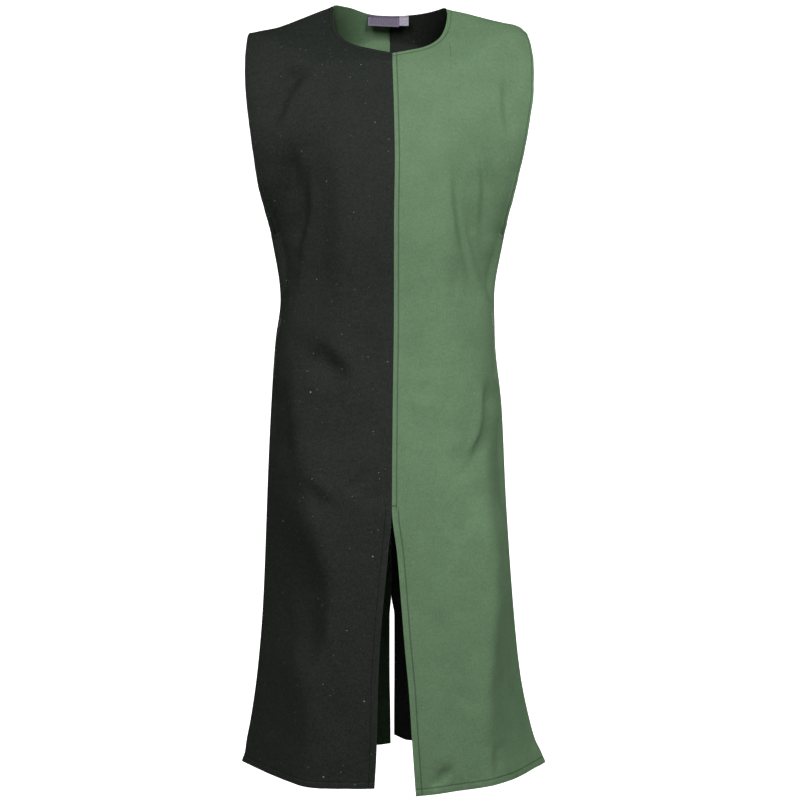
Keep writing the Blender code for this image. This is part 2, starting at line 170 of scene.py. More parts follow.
# ---------------------------------------------------------------- creases
# Each crease follows a path of (x, z) points as seen from the front. The path is its
# crest. From there the cloth falls away on one side, to the wearer's right or left of
# the path, is deepest at the end of its run and comes back softly. Lift is how far the
# crest itself stands proud.
CREASES = {
    "columns": ("panel", "falls", "depth", "run", "lift", "path"),
    "rows": (
        # the black half of the front
        ("front_right", "right", 12.5, 17, 1.0, ((-112, -108), (-126, -126), (-140, -143), (-152, -168), (-166, -206))),
        ("front_right", "right", 15.0, 46, 0.0, ((-88, -180), (-82, -234), (-78, -292), (-75, -363), (-75, -434), (-78, -506))),
        ("front_right", "right", 8.4, 14, 0.8, ((-133, -212), (-138, -243), (-151, -290), (-160, -327), (-165, -364))),
        ("front_right", "right", 16.0, 21, 0.8, ((-122, -236), (-126, -292), (-129, -327), (-140, -363), (-149, -399), (-156, -430))),
        ("front_right", "right", 2.9, 13, 0.9, ((-132, -372), (-141, -404), (-146, -436))),
        ("front_right", "right", 9.5, 24, 1.0, ((-108, -496), (-89, -516), (-73, -533), (-59, -548), (-48, -564))),
        ("front_right", "right", 4.6, 42, 0.0, ((-58, -556), (-60, -620), (-66, -690))),
        ("front_right", "right", 6.4, 22, 1.6, ((-149, -548), (-149, -591), (-143, -648), (-138, -698))),
        ("front_right", "right", 4.6, 18, 1.0, ((-130, -688), (-112, -706), (-92, -724), (-75, -739))),
        ("front_right", "left", 2.6, 21, 0.8, ((-72, -714), (-54, -730), (-42, -752))),
        ("front_right", "right", 4.9, 26, 0.8, ((-116, -768), (-103, -806), (-89, -866), (-92, -926), (-100, -980))),
        ("front_right", "left", 2.9, 18, 1.4, ((-136, -870), (-138, -940), (-134, -1000))),
        ("front_right", "right", 2.9, 26, 0.4, ((-116, -985), (-120, -1040), (-122, -1104))),
        ("front_right", "right", 1.1, 26, 0.2, ((-52, -900), (-50, -980), (-54, -1080))),
        ("front_right", "right", 1.7, 16, 0.3, ((-168, -560), (-170, -640), (-172, -730))),
        ("front_right", "right", 1.4, 12, 0.2, ((-66, -104), (-76, -136), (-84, -168))),
        # the green half of the front
        ("front_left", "left", 6.6, 11, 0.6, ((154, -112), (156, -145), (158, -178), (165, -214))),
        ("front_left", "left", 10.5, 46, 0.5, ((84, -170), (78, -228), (78, -280), (82, -327), (80, -380), (70, -434), (68, -500))),
        ("front_left", "left", 6.2, 11, 0.9, ((78, -244), (81, -270), (88, -327), (96, -366), (108, -398), (117, -424))),
        ("front_left", "left", 8.0, 13, 0.8, ((100, -296), (109, -340), (118, -366), (129, -394), (138, -424), (144, -448))),
        ("front_left", "left", 5.5, 11, 0.8, ((112, -214), (122, -244), (131, -276), (133, -320), (135, -350), (143, -384))),
        ("front_left", "left", 7.0, 62, 0.0, ((90, -600), (92, -660), (92, -720), (94, -790))),
        ("front_left", "left", 7.8, 12, 2.2, ((133, -548), (130, -586), (130, -618), (126, -643), (111, -660), (88, -677))),
        ("front_left", "right", 2.0, 9, 1.4, ((126, -644), (112, -668), (96, -682), (80, -690))),
        ("front_left", "left", 2.2, 24, 0.8, ((64, -668), (76, -690), (84, -716))),
        ("front_left", "right", 1.2, 12, 0.3, ((124, -752), (108, -776), (90, -798))),
        ("front_left", "left", 2.0, 22, 0.6, ((146, -858), (142, -920), (136, -985), (132, -1050), (132, -1108))),
        ("front_left", "right", 5.2, 7, 1.0, ((88, -1106), (75, -1120), (60, -1138))),
        ("front_left", "left", 2.4, 8, 0.6, ((142, -1070), (140, -1094), (141, -1122))),
        ("front_left", "left", 1.2, 24, 0.3, ((48, -860), (54, -950), (60, -1050))),
        ("front_left", "left", 1.8, 14, 0.4, ((24, -566), (34, -590), (50, -606))),
        ("front_left", "left", 1.2, 22, 1.0, ((40, -226), (46, -262), (44, -304))),
        # the backs, made of the same kinds
        ("back_right", "right", 4.4, 20, 0.8, ((-58, -150), (-82, -220), (-104, -300), (-122, -352))),
        ("back_right", "right", 4.6, 14, 0.8, ((-98, -316), (-118, -366), (-136, -428))),
        ("back_right", "right", 2.2, 22, 0.3, ((-30, -250), (-42, -330), (-46, -410))),
        ("back_right", "right", 3.6, 12, 1.0, ((-134, -446), (-96, -470), (-56, -506))),
        ("back_right", "left", 2.4, 10, 0.8, ((-44, -540), (-80, -566), (-112, -600))),
        ("back_right", "right", 2.6, 9, 0.7, ((-128, -640), (-96, -668), (-66, -688))),
        ("back_right", "right", 2.6, 22, 0.6, ((-66, -700), (-74, -790), (-78, -880), (-80, -960))),
        ("back_right", "right", 3.2, 18, 0.8, ((-112, -860), (-118, -950), (-120, -1060))),
        ("back_right", "left", 1.6, 16, 0.4, ((-46, -970), (-44, -1040), (-40, -1110))),
        ("back_right", "right", 2.6, 10, 0.5, ((-146, -122), (-158, -176), (-168, -230))),
        ("back_left", "left", 4.2, 19, 0.8, ((54, -160), (74, -230), (96, -300), (112, -352))),
        ("back_left", "left", 4.8, 14, 0.8, ((88, -312), (104, -362), (122, -424))),
        ("back_left", "left", 2.2, 20, 0.3, ((34, -230), (40, -320), (38, -400))),
        ("back_left", "left", 3.6, 11, 1.0, ((124, -560), (96, -590), (56, -626))),
        ("back_left", "right", 2.2, 10, 0.8, ((118, -610), (90, -634), (58, -664))),
        ("back_left", "left", 2.6, 9, 0.7, ((52, -440), (82, -468), (116, -512))),
        ("back_left", "left", 2.8, 22, 0.6, ((62, -730), (72, -830), (80, -930))),
        ("back_left", "left", 3.0, 18, 0.8, ((112, -880), (116, -960), (118, -1070))),
        ("back_left", "right", 1.6, 14, 0.4, ((36, -980), (34, -1050), (30, -1110))),
        ("back_left", "left", 2.6, 10, 0.5, ((138, -118), (150, -170), (158, -226))),
    ),
}

# ---------------------------------------------------------------- hems and stitching
# How far each line of stitches lies in from its edge, and how proud the folded cloth
# stands between them.
HEMS = {
    "columns": ("edge", "stitch", "proud"),
    "rows": (
        ("neck", 6.0, 0.5),
        ("armhole", 5.0, 0.45),
        ("slit", 9.0, 0.5),
        ("hem", 9.5, 0.5),
        ("seam", 6.5, 0.5),
    ),
}
STITCH_LENGTH = 2.5
STITCH_PITCH = 3.2
STITCH_RADIUS = 0.2
EDGE_STOPS = {
    "centre": (0, 0.4, 1.0, 2.2, 4.2, 5.7, 6.3, 6.9, 7.8, 8.5, 9.1, 9.7, 10.7, 12.4),
    "side": (0, 0.4, 1.0, 2.2, 3.7, 4.5, 5.1, 5.8, 7.0, 9.0),
    "top": (0, 0.5, 1.2, 2.6, 4.4, 5.4, 6.0, 6.7, 7.8, 9.4, 11.4),
    "hem": (0, 0.5, 1.2, 2.8, 5.4, 8.0, 8.9, 9.5, 10.1, 11.2, 13.0, 15.6),
}
NECK_CELLS, SHOULDER_CELLS = 50, 84
UPPER_CELLS, LOWER_CELLS = 104, 226


def column(table, name):
    i = table["columns"].index(name)
    return [row[i] for row in table["rows"]]


def curve(table, over, name, at):
    """The table's column at these places, as a smooth curve through its rows that
    doesn't overshoot them."""
    x = np.array(column(table, over), float)
    y = np.array(column(table, name), float)
    if x[0] > x[-1]:
        x, y = x[::-1], y[::-1]
    step = np.diff(x)
    slope = np.diff(y) / step
    tangent = np.zeros(len(x))
    tangent[0], tangent[-1] = slope[0], slope[-1]
    for i in range(1, len(x) - 1):
        if slope[i - 1] * slope[i] > 0:
            a, b = 2 * step[i] + step[i - 1], step[i] + 2 * step[i - 1]
            tangent[i] = (a + b) / (a / slope[i - 1] + b / slope[i])
    at = np.clip(np.asarray(at, float), x[0], x[-1])
    i = np.clip(np.searchsorted(x, at, "right") - 1, 0, len(step) - 1)
    t = (at - x[i]) / step[i]
    return (
        y[i] * (1 + 2 * t) * (1 - t) ** 2
        + tangent[i] * step[i] * t * (1 - t) ** 2
        + y[i + 1] * t * t * (3 - 2 * t)
        + tangent[i + 1] * step[i] * t * t * (t - 1)
    )


def smooth(low, high, at):
    t = np.clip((at - low) / (high - low), 0, 1)
    return t * t * (3 - 2 * t)


def bow(share, power):
    return np.maximum(1 - share**power, 0) ** (1 / power)


def skirt_section(u, turn, round_over):
    """A flat front that turns at a share across and then runs straight to the side: 1
    at the centre and 0 at the side, with the turn rounded over a part of that run."""

    def ease(at):
        return (at + np.sqrt(at * at + round_over * round_over)) / 2

    start, end = ease(-turn / (1 - turn)), ease(1.0)
    return 1 - (ease((u - turn) / (1 - turn)) - start) / (end - start)


def bell(at, reach):
    return np.exp(-((at / reach) ** 2))


def lattice(x, y, seed):
    """Smooth uneven values from -1 to 1 over the plane, the same ones each time."""
    table = np.random.default_rng(seed).uniform(-1, 1, (128, 128))
    xi, yi = np.floor(x).astype(int), np.floor(y).astype(int)
    fx, fy = x - xi, y - yi
    fx, fy = fx**3 * (fx * (fx * 6 - 15) + 10), fy**3 * (fy * (fy * 6 - 15) + 10)

    def at(i, j):
        return table[(xi + i) % 128, (yi + j) % 128]

    low = at(0, 0) * (1 - fx) + at(1, 0) * fx
    high = at(0, 1) * (1 - fx) + at(1, 1) * fx
    return low * (1 - fy) + high * fy


def base_form(panel):
    """A panel's own form before its creases: dense rows of points from the top edge to
    the hem, with the neck point's column and the underarm's row."""
    face, side = panel.split("_")
    outward, across = (-1 if face == "front" else 1), (-1 if side == "right" else 1)
    neck_share = NECK_HALF[side] / curve(SECTIONS, "z", side, [ARMHOLE_TOP_Z])[0]
    neck_columns, shoulder_columns = 90, 130
    to_neck = np.sin(np.linspace(0, math.pi / 2, neck_columns + 1)) * neck_share
    beyond = neck_share + (1 - neck_share) * np.sin(
        np.linspace(0, math.pi / 2, shoulder_columns + 1)
    )
    share = np.concatenate([to_neck, beyond[1:]])
    in_neck = np.clip(share / neck_share, 0, 1)
    past_neck = np.clip((share - neck_share) / (1 - neck_share), 0, 1)

    seam_z = curve(SHOULDER, "share", side, past_neck)
    if face == "front":
        fall = bow(in_neck, NECK_SHAPE) * (1 - 0.2 * in_neck * (1 - in_neck))
        top_z = seam_z - (FRONT_NECK_DROP + seam_z[0]) * fall
        ridge_z = seam_z
    else:
        top_z = np.where(share < neck_share, curve(BACK_NECK, "share", side, in_neck), seam_z)
        ridge_z = seam_z + BACK_NECK_CLIMB * (1 - in_neck**2) ** 1.35
    hem_z = curve(HEM, "share", panel, share)

    upper_rows, lower_rows = 240, 340
    even = np.linspace(0, 1, upper_rows + 1)
    upper = 0.35 * even + 0.65 * (1 - np.cos(even * math.pi)) / 2
    lower = np.linspace(0, 1, lower_rows + 1)[1:]
    z = np.concatenate(
        [
            top_z + (UNDERARM_Z - top_z) * upper[:, None],
            UNDERARM_Z + (hem_z - UNDERARM_Z) * lower[:, None],
        ]
    )
    u = np.broadcast_to(share, z.shape)

    half = curve(SECTIONS, "z", side, np.minimum(z, ARMHOLE_TOP_Z))
    line = FRONT_CENTRE if face == "front" else BACK_CENTRE
    centre = curve(line, "z", "seam", z) + across * (curve(line, "z", side, z) + SEAM_GAP / 2)
    low = smooth(-300, -650, z)
    near = (1 - np.clip(u / neck_share, 0, 1)) ** 2 * (1 - low) + (1 - u) * low
    x = across * (half * u) + centre * near

    over = z > ARMHOLE_MIDDLE_Z
    reach = np.where(over, ARMHOLE_TOP_Z - ARMHOLE_MIDDLE_Z, ARMHOLE_MIDDLE_Z - UNDERARM_Z)
    within = np.clip(1 - ((z - ARMHOLE_MIDDLE_Z) / reach) ** 2, 0, 1)
    edge = ARMHOLE_HALF_DEPTH * within ** np.where(over, ARMHOLE_TOP_POWER, ARMHOLE_FOOT_POWER)
    flat = curve(SECTIONS, "z", "flat", z)
    corner = curve(SECTIONS, "z", "corner", z)
    middle = curve(SECTIONS, "z", face, z)
    cut = (1 - (edge / middle) ** corner) ** (1 / flat)
    body = np.maximum(1 - (u * cut) ** flat, 0) ** (1 / corner)
    turn = curve(TURNS, "z", panel, z)
    skirt = skirt_section(u, turn, SKIRT_ROUND / (1 - turn))
    share_of_skirt = smooth(-560, -820, z)
    section = middle * (body * (1 - share_of_skirt) + skirt * share_of_skirt)

    out = smooth(0, 1, past_neck)
    at_neck = 100 if face == "front" else 100 - 66 * in_neck**2
    roll = at_neck * (1 - out) + 12 * out
    power = 1.2 + 0.8 * out
    down = np.clip((ridge_z - z) / roll, 0, 1)
    depth = section * np.maximum(1 - (1 - down) ** power, 0) ** (1 / power)
    points = np.stack([x, outward * (depth + SEAM_GAP / 2), z], axis=2)
    return points, neck_columns, upper_rows, -outward * across


def spread(points, cells, first=(0,), last=(0,)):
    """Each row of points again, at the first and last stops in from its two ends and
    evenly between them."""
    rows = []
    middle = cells - (len(first) - 1) - (len(last) - 1)
    for row in points:
        along = np.concatenate([[0], np.cumsum(np.linalg.norm(np.diff(row, axis=0), axis=1))])
        length = along[-1]
        most = 0.42 * length
        a = np.array(first, float) * min(1, most / max(first[-1], 1e-9))
        b = np.array(last, float) * min(1, most / max(last[-1], 1e-9))
        between = np.linspace(a[-1], length - b[-1], middle + 1)
        at = np.concatenate([a[:-1], between, (length - b[:-1])[::-1]])
        rows.append(np.stack([np.interp(at, along, row[:, k]) for k in range(3)], axis=1))
    return np.array(rows)


def panel_grid(panel):
    """The panel's grid of points: fine beside its edges, and evenly spread between."""
    dense, neck, underarm, turn = base_form(panel)
    grid = np.concatenate(
        [
            spread(dense[:, : neck + 1], NECK_CELLS, first=EDGE_STOPS["centre"]),
            spread(dense[:, neck:], SHOULDER_CELLS, last=EDGE_STOPS["side"])[:, 1:],
        ],
        axis=1,
    )
    turned = grid.transpose(1, 0, 2)
    grid = np.concatenate(
        [
            spread(turned[:, : underarm + 1], UPPER_CELLS, first=EDGE_STOPS["top"]),
            spread(turned[:, underarm:], LOWER_CELLS, last=EDGE_STOPS["hem"])[:, 1:],
        ],
        axis=1,
    ).transpose(1, 0, 2)
    return grid, turn


def ways_out(points, turn, seams):
    way = np.cross(np.gradient(points, axis=0), np.gradient(points, axis=1)) * turn
    way /= np.maximum(np.linalg.norm(way, axis=2, keepdims=True), 1e-12)
    for axis, name in ((1, "y"), (0, "x")):
        flat = way.copy()
        flat[..., axis] = 0
        size = np.linalg.norm(flat, axis=2, keepdims=True)
        longer = np.minimum(1 / np.maximum(size, 0.5), 1.35)
        way = np.where(seams[name][..., None], flat / np.maximum(size, 1e-9) * longer, way)
    return way


def along_rows(points):
    steps = np.linalg.norm(np.diff(points, axis=1), axis=2)
    start = np.zeros((len(points), 1))
    return np.concatenate([start, np.cumsum(steps, axis=1)], axis=1)


def rounded_path(points, count=18):
    """The path as a smooth line through its points."""
    points = np.array(points, float)
    lengths = np.linalg.norm(np.diff(points, axis=0), axis=1)
    along = np.concatenate([[0], np.cumsum(lengths)])
    slope = np.gradient(points, along, axis=0)
    at = np.linspace(0, along[-1], count)
    i = np.clip(np.searchsorted(along, at, "right") - 1, 0, len(lengths) - 1)
    step = lengths[i][:, None]
    t = ((at - along[i]) / lengths[i])[:, None]
    return (
        points[i] * (1 + 2 * t) * (1 - t) ** 2
        + slope[i] * step * t * (1 - t) ** 2
        + points[i + 1] * t * t * (3 - 2 * t)
        + slope[i + 1] * step * t * t * (t - 1)
    )


def crease_depth(panel, x, z):
    """How far the creases of a panel press its points in."""
    total = np.zeros_like(x)
    for number, row in enumerate(CREASES["rows"]):
        crease = dict(zip(CREASES["columns"], row))
        if crease["panel"] != panel:
            continue
        path = rounded_path(crease["path"])
        run = crease["run"]
        margin = 3.4 * run + 8
        low, high = path.min(axis=0) - margin, path.max(axis=0) + margin
        near = (x > low[0]) & (x < high[0]) & (z > low[1]) & (z < high[1])
        px, pz = x[near], z[near]
        best = np.full(px.shape, np.inf)
        place, side, beyond = np.zeros_like(px), np.ones_like(px), np.zeros_like(px)
        for k in range(len(path) - 1):
            start, way = path[k], path[k + 1] - path[k]
            length = np.hypot(*way)
            t = ((px - start[0]) * way[0] + (pz - start[1]) * way[1]) / length**2
            held = np.clip(t, 0, 1)
            away = np.hypot(px - start[0] - held * way[0], pz - start[1] - held * way[1])
            over = np.zeros_like(px)
            if k == 0:
                over = np.maximum(-t, 0) * length
            if k == len(path) - 2:
                over = np.maximum(over, np.maximum(t - 1, 0) * length)
            across = (-(px - start[0]) * way[1] + (pz - start[1]) * way[0]) / length
            nearer = away < best
            best = np.where(nearer, away, best)
            place = np.where(nearer, (k + held) / (len(path) - 1), place)
            beyond = np.where(nearer, over, beyond)
            side = np.where(nearer, np.where(over > 0, across, np.sign(across) * away), side)
        if crease["falls"] == "right":
            side = -side
        soft = 1.2 + 0.09 * run
        fallen = soft * np.log1p(np.exp(np.clip(side / soft, -30, 30))) / run
        profile = fallen * np.exp((1 - fallen * fallen) / 2)
        profile = crease["depth"] * profile - crease["lift"] * bell(side + 0.1 * run, 0.45 * run + 3)
        fade = (0.12 + 0.88 * smooth(0, 0.34, place)) * (0.12 + 0.88 * smooth(1, 0.66, place))
        uneven = 1 + 0.22 * lattice(place * 4.0 + number, place * 0 + number, 5)
        total[near] += profile * fade * uneven * bell(beyond, 0.8 * run + 3)
    return total


def cloth_panel(panel):
    """The panel's outer and inner points, the maps that its material reads, and what
    the stitching needs."""
    face, side = panel.split("_")
    base, turn = panel_grid(panel)
    rows, columns = base.shape[:2]
    slit_top = FRONT_SLIT_TOP_Z if face == "front" else BACK_SLIT_TOP_Z
    seams = {"x": np.zeros((rows, columns), bool), "y": np.zeros((rows, columns), bool)}
    seams["x"][:, 0] = True
    seams["y"][0, NECK_CELLS:] = True
    seams["y"][UPPER_CELLS:, -1] = True
    way = ways_out(base, turn, seams)
    x, z = base[..., 0], base[..., 2]

    # Distances over the cloth from each of its edges.
    from_centre = along_rows(base)
    from_side = from_centre[:, -1:] - from_centre
    down = along_rows(base.transpose(1, 0, 2)).T
    from_hem = down[-1:] - down
    edge = base[0, : NECK_CELLS + 1]
    fine = np.concatenate([edge[:-1] + (edge[1:] - edge[:-1]) * t for t in (0, 0.25, 0.5, 0.75)])
    tree = KDTree(len(fine) + 1)
    for i, p in enumerate([*fine, edge[-1]]):
        tree.insert(p, i)
    tree.balance()
    from_neck = np.full((rows, columns), 99.0)
    close = z > z[0, 0] - 40
    from_neck[close] = [tree.find(p)[2] for p in base[close]]
    in_slit = smooth(slit_top + 4, slit_top - 10, z)
    open_side = smooth(UNDERARM_Z - 2, UNDERARM_Z + 6, z)
    far = 99.0
    from_slit = np.where(in_slit > 0.5, from_centre, far)
    from_seam = np.where(in_slit < 0.5, from_centre, far)
    from_armhole = np.where(open_side > 0.5, from_side, far)
    from_side_seam = np.where(open_side < 0.5, from_side, far)
    from_shoulder = np.where(
        np.arange(columns)[None, :] >= NECK_CELLS, down, far
    ) * np.ones((rows, 1))

    # Creases and the cloth's own unevenness, fading towards the sewn seams.
    fade = smooth(0, 26, from_side_seam) * smooth(0, 14, from_armhole + 3)
    fade = fade * smooth(-2, 46, from_neck) * smooth(0, 40, from_shoulder)
    press = crease_depth(panel, x, z) * fade * (0.35 + 0.65 * smooth(0, 16, from_seam))
    seed = {"front": 3, "back": 11}[face]
    slack = smooth(0, 20, from_side_seam) * smooth(0, 16, from_shoulder)
    press += 0.9 * slack * lattice(x / 34 + 40, z / 58 + 40, seed)
    press += 0.42 * slack * lattice(x / 13 + 20, z / 21 + 60, seed + 1)
    press += 0.14 * slack * lattice(x / 5.5 + 20, z / 6.5 + 60, seed + 2)

    # Turned hems: proud bands that end in a line of stitches, with slight puckers.
    green = panel in ("front_left", "back_right")
    raise_by = np.zeros_like(x)
    groove_and_painted_shade = np.zeros_like(x)
    band = np.zeros_like(x)
    distances = {
        "neck": from_neck,
        "armhole": from_armhole,
        "slit": from_slit,
        "hem": from_hem,
        "seam": from_seam if green else np.full_like(x, far),
    }
    for name, stitch, proud in HEMS["rows"]:
        away = distances[name]
        raise_by = np.maximum(raise_by, proud * smooth(stitch + 2.4, stitch + 0.6, away))
        # this stitch-groove mask also sets the painted shade that darkens the grooves' colour in the material
        groove_and_painted_shade = np.maximum(groove_and_painted_shade, bell(away - stitch, 1.05))
        band = np.maximum(band, smooth(stitch + 9, stitch, away) * (0.5 if name == "seam" else 1))
    pucker = lattice(x / 5.0 + 10, z / 5.0 + 90, seed + 3) + 0.6 * lattice(
        x / 9.0 + 70, z / 9.0 + 30, seed + 4
    )
    raise_by += 0.2 * band * pucker * slack
    raise_by -= 0.65 * groove_and_painted_shade
    sewn = np.minimum(np.minimum(from_seam, from_side_seam), from_shoulder)
    raise_by -= 0.55 * bell(sewn, 1.5)
    free = np.minimum(np.minimum(from_slit, from_hem), np.minimum(from_armhole, from_neck))
    raise_by -= 0.4 * bell(free, 0.8)

    outer = base + way * (raise_by - press)[..., None]
    inner = base - way * (press + CLOTH_WALL)[..., None]
    # Paler edges: wear along the free folded edges, and a painted highlight along the sewn seams where the raised seam
    # edge catches light.
    wear_and_seam_highlight = np.maximum(bell(free, 1.4), 0.5 * bell(sewn, 1.2))
    return {
        "name": panel,
        "outer": outer,
        "inner": inner,
        "way": way,
        "across_m": from_centre * MM,
        "down_m": from_hem * MM,
        "groove_and_painted_shade": np.clip(groove_and_painted_shade, 0, 1),
        "band": np.clip(band, 0, 1),
        "wear_and_seam_highlight": np.clip(wear_and_seam_highlight, 0, 1),
        "slit_row": int(np.argmin(np.abs(z[:, 0] - slit_top))),
        "green": green,
    }


def link(obj):
    scene.collection.objects.link(obj)
    return obj


def shell_object(made, material):
    """A closed wall between the outer and the inner points, with UV in metres over the
    cloth. Its vertex values are the stitch grooves, which also set the painted shade in them,
    its bands, and its paler edges: wear at the free edges and a painted highlight along the seams."""
    outer, inner = made["outer"], made["inner"]
    rows, columns = outer.shape[:2]
    count = rows * columns
    points = np.concatenate([outer.reshape(-1, 3), inner.reshape(-1, 3)]) * MM
    index = np.arange(count).reshape(rows, columns)
    a, b, c, d = index[:-1, :-1], index[1:, :-1], index[1:, 1:], index[:-1, 1:]
    quads = np.stack([a, b, c, d], axis=2).reshape(-1, 4)
    centre = np.cross(
        points[quads[:, 2]] - points[quads[:, 0]], points[quads[:, 3]] - points[quads[:, 1]]
    )
    if (centre * made["way"].reshape(-1, 3)[quads[:, 0]]).sum() < 0:
        quads = quads[:, ::-1]
    ring = np.concatenate(
        [index[0, :], index[1:, -1], index[-1, -2::-1], index[-2:0:-1, 0]]
    )
    after = np.roll(ring, -1)
    rim = np.stack([ring, after, after + count, ring + count], axis=1)
    # The rim turns with the skin: its first edge runs against the skin's own.
    first = {(int(q[i]), int(q[(i + 1) % 4])) for q in quads[: columns - 1] for i in range(4)}
    if (int(ring[0]), int(ring[1])) in first:
        rim = rim[:, ::-1]
    faces = np.concatenate([quads, quads[:, ::-1] + count, rim]).astype(np.int32)

    mesh = bpy.data.meshes.new(made["name"] + "_cloth")
    mesh.vertices.add(len(points))
    mesh.vertices.foreach_set("co", points.astype(np.float32).ravel())
    mesh.loops.add(faces.size)
    mesh.loops.foreach_set("vertex_index", faces.ravel())
    mesh.polygons.add(len(faces))
    mesh.polygons.foreach_set("loop_start", np.arange(0, faces.size, 4, dtype=np.int32))
    mesh.polygons.foreach_set("loop_total", np.full(len(faces), 4, np.int32))
    mesh.update(calc_edges=True)
    mesh.validate()
    mesh.polygons.foreach_set("use_smooth", np.ones(len(mesh.polygons), bool))

    over = np.stack([made["across_m"].ravel(), made["down_m"].ravel()], axis=1)
    over = np.concatenate([over, over + (0.7, 0)])
    layer = mesh.uv_layers.new(name="cloth")
    layer.data.foreach_set("uv", over[faces.ravel()].astype(np.float32).ravel())
    for name in ("groove_and_painted_shade", "band", "wear_and_seam_highlight"):
        values = np.concatenate([made[name].ravel(), made[name].ravel() * (name != "groove_and_painted_shade")])
        attribute = mesh.attributes.new(name, "FLOAT", "POINT")
        attribute.data.foreach_set("value", values.astype(np.float32))
    obj = link(bpy.data.objects.new(made["name"] + "_cloth", mesh))
    mesh.materials.append(material)
    return obj


# ---------------------------------------------------------------- stitches
def stitch_path(made, tree, edge, inset, skip=(0.0, 0.0)):
    """Points of a line that runs inset from an edge of the panel, on the cloth, with the
    cloth's way out at each."""
    line = np.array(edge, float)
    steps = np.linalg.norm(np.diff(line, axis=0), axis=1)
    along = np.concatenate([[0], np.cumsum(steps)])
    at = np.arange(skip[0], along[-1] - skip[1], 1.0)
    line = np.stack([np.interp(at, along, line[:, k]) for k in range(3)], axis=1)
    run = np.gradient(line, axis=0)
    run /= np.maximum(np.linalg.norm(run, axis=1, keepdims=True), 1e-9)
    places, normals = [], []
    for p, r in zip(line, run):
        found = tree.find_nearest(Vector(p))
        n = np.array(found[1])
        into = np.cross(n, r)
        probe = p + into * inset
        other = p - into * inset
        # The way into the cloth is the one whose point lands on it squarely.
        hit, back = tree.find_nearest(Vector(probe)), tree.find_nearest(Vector(other))
        chosen = hit if hit[3] < back[3] else back
        places.append(np.array(chosen[0]))
        normals.append(np.array(chosen[1]))
    return np.array(places), np.array(normals)


def stitches(name, lines, material):
    """Short raised threads along the lines, sunk a little into the cloth."""
    around, points, faces = 6, [], []
    for places, normals in lines:
        if len(places) < 6:
            continue
        steps = np.linalg.norm(np.diff(places, axis=0), axis=1)
        along = np.concatenate([[0], np.cumsum(steps)])
        starts = np.arange(0.6, along[-1] - STITCH_LENGTH, STITCH_PITCH)
        for start in starts:
            at = start + np.array([0.0, 0.3, 1.25, 2.2, 2.5]) * STITCH_LENGTH / 2.5
            lift = np.array([-0.16, 0.06, 0.12, 0.06, -0.16])
            thick = np.array([0.35, 0.9, 1.0, 0.9, 0.35]) * STITCH_RADIUS
            centre = np.stack([np.interp(at, along, places[:, k]) for k in range(3)], axis=1)
            normal = np.stack([np.interp(at, along, normals[:, k]) for k in range(3)], axis=1)
            normal /= np.maximum(np.linalg.norm(normal, axis=1, keepdims=True), 1e-9)
            run = centre[-1] - centre[0]
            run /= max(np.linalg.norm(run), 1e-9)
            across = np.cross(normal, run)
            across /= np.maximum(np.linalg.norm(across, axis=1, keepdims=True), 1e-9)
            base = len(points)
            turn = np.arange(around) * 2 * math.pi / around
            for k in range(5):
                for t in turn:
                    points.append(
                        centre[k]
                        + normal[k] * (lift[k] + thick[k] * math.sin(t))
                        + across[k] * thick[k] * math.cos(t)
                    )
            for k in range(4):
                for j in range(around):
                    a, b = base + k * around + j, base + k * around + (j + 1) % around
                    faces.append((a, b, b + around, a + around))
            faces.append(tuple(base + j for j in range(around))[::-1])
            faces.append(tuple(base + 4 * around + j for j in range(around)))
    mesh = bpy.data.meshes.new(name)
    mesh.from_pydata([tuple(p * MM) for p in points], [], faces)
    mesh.validate()
    mesh.polygons.foreach_set("use_smooth", np.ones(len(mesh.polygons), bool))
    mesh.materials.append(material)
    return link(bpy.data.objects.new(name, mesh))


def skin_tree(made):
    """A tree of the panel's outer skin, in millimetres, facing out."""
    outer = made["outer"]
    rows, columns = outer.shape[:2]
    index = np.arange(rows * columns).reshape(rows, columns)
    quads = np.stack(
        [index[:-1, :-1], index[1:, :-1], index[1:, 1:], index[:-1, 1:]], axis=2
    ).reshape(-1, 4)
    flat = outer.reshape(-1, 3)
    centre = np.cross(flat[quads[:, 2]] - flat[quads[:, 0]], flat[quads[:, 3]] - flat[quads[:, 1]])
    if (centre * made["way"].reshape(-1, 3)[quads[:, 0]]).sum() < 0:
        quads = quads[:, ::-1]
    return BVHTree.FromPolygons(flat.tolist(), quads.tolist())


# ---------------------------------------------------------------- materials
def nodes_of(name):
    material = bpy.data.materials.new(name)
    material.use_nodes = True
    tree = material.node_tree
    tree.nodes.clear()
    out = tree.nodes.new("ShaderNodeOutputMaterial")
    surface = tree.nodes.new("ShaderNodeBsdfPrincipled")
    tree.links.new(surface.outputs[0], out.inputs["Surface"])
    return material, tree, surface


